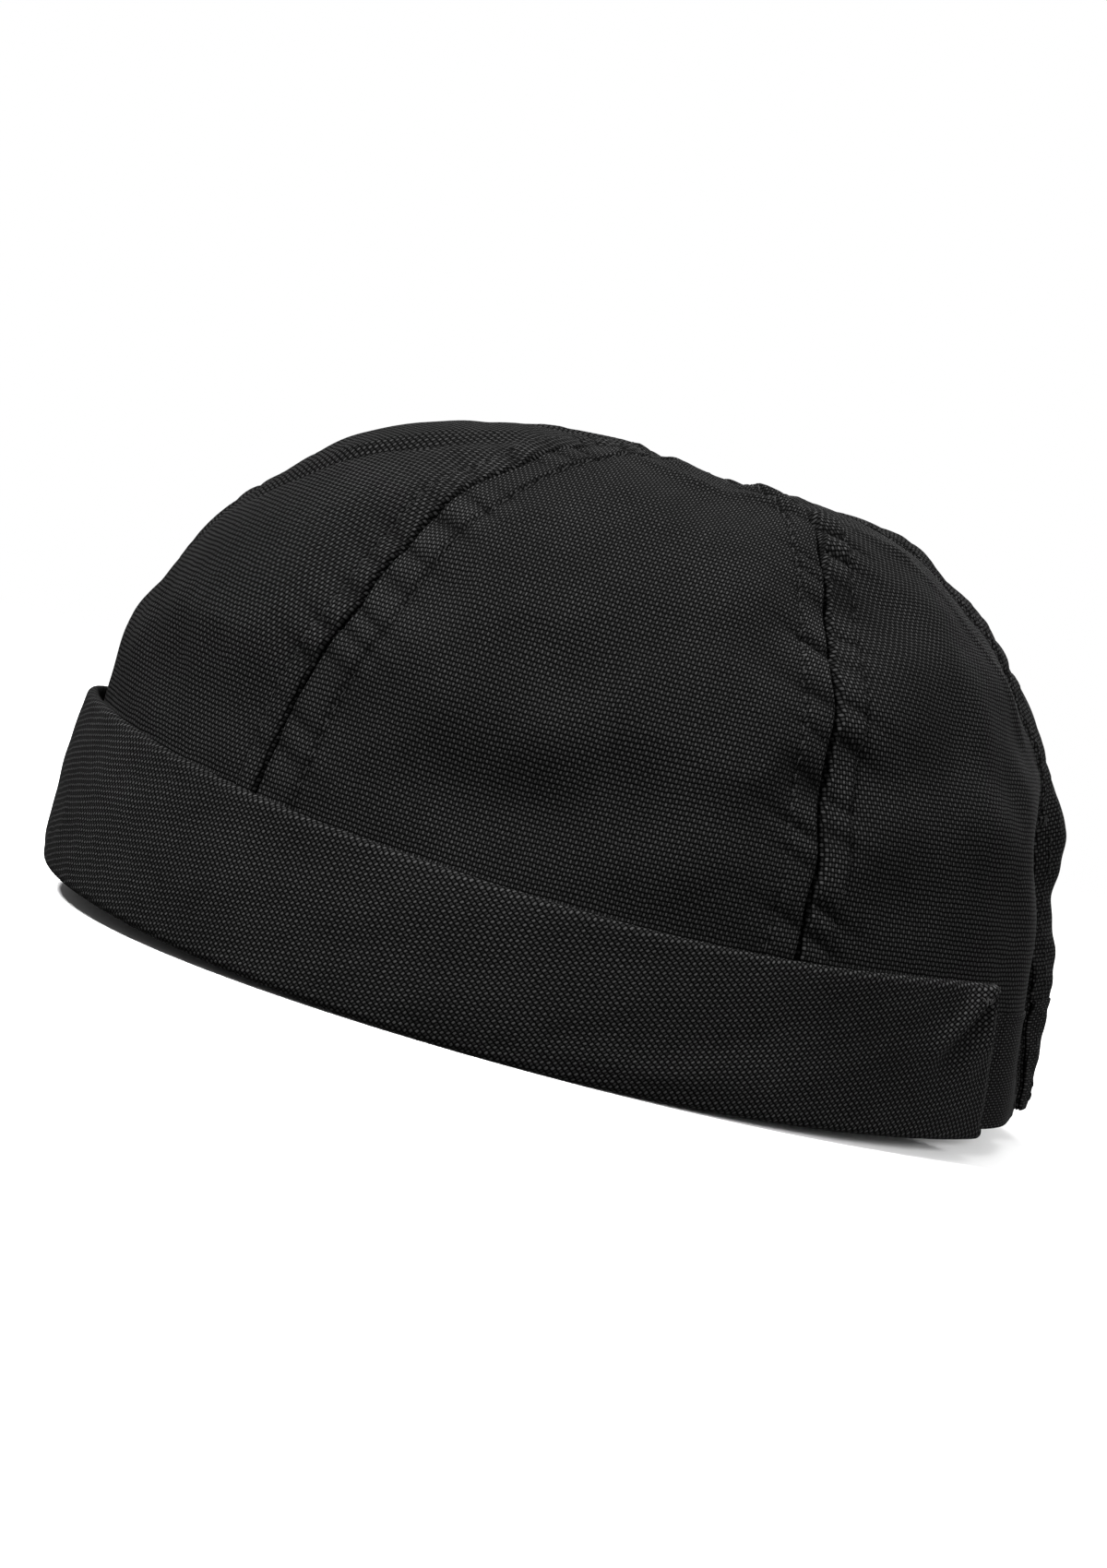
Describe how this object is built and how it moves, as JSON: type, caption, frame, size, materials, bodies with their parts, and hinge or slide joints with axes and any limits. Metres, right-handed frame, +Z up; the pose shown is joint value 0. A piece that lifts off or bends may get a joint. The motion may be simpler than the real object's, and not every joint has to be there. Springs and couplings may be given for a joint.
{
  "type": "chef skull cap",
  "caption": "Low canvas chef's cap with panelled crown, topstitched seams, turned-up cuff and an adjustable hook-and-loop vent at the back.",
  "frame": {"origin": "middle of the cap's box, on the plane its rim rests on", "axes": "+Z up through the crown, -Y the front, +Y the back with the vent, +X the wearer's left"},
  "size_m": [0.1792, 0.2083, 0.118],
  "materials": {
    "canvas": "matt plain-weave cotton canvas",
    "seam_tape": "fine matt twill tape",
    "thread": "spun polyester sewing thread",
    "sweatband_twill": "soft brushed twill",
    "interlining": "stiff fusible non-woven",
    "hook_tape": "moulded nylon hooks",
    "loop_tape": "napped nylon loops",
    "label": "blank woven satin"
  },
  "bodies": {
    "cap": {"front_panel_left": "canvas", "front_panel_right": "canvas", "side_panel_left": "canvas", "side_panel_right": "canvas", "rear_panel_left": "canvas", "rear_panel_right": "canvas", "rim_band": "canvas", "cuff": "canvas", "vent_underlay": "canvas", "vent_facing_left": "canvas", "vent_facing_right": "canvas", "seam_tape_centre": "seam_tape", "seam_tape_front_left": "seam_tape", "seam_tape_front_right": "seam_tape", "seam_tape_rear_left": "seam_tape", "seam_tape_rear_right": "seam_tape", "topstitch_front_left": "thread", "topstitch_front_right": "thread", "topstitch_rear_left": "thread", "topstitch_rear_right": "thread", "topstitch_front_centre": "thread", "topstitch_rear_centre": "thread", "vent_topstitch_left": "thread", "vent_topstitch_right": "thread", "vent_bar_tack": "thread", "cuff_bar_tack_left": "thread", "cuff_bar_tack_right": "thread", "sweatband_stitching": "thread", "hook_tape_stitching": "thread", "closure_tab_stitching": "thread", "sweatband": "sweatband_twill", "care_label": "label", "cuff_interlining": "interlining", "hook_tape": "hook_tape", "closure_tab_base": "canvas"},
    "closure_tab": {"closure_tab": "canvas", "loop_tape": "loop_tape", "loop_tape_stitching": "thread"}
  },
  "joints": [
    {"name": "closure_tab_peel", "type": "hinge", "parent": "cap", "child": "closure_tab", "pos_m": [-0.00853, 0.09939, 0.013], "axis": [-0.0042, 0.0481, -0.9988], "range_deg": [0, 70]}
  ]
}
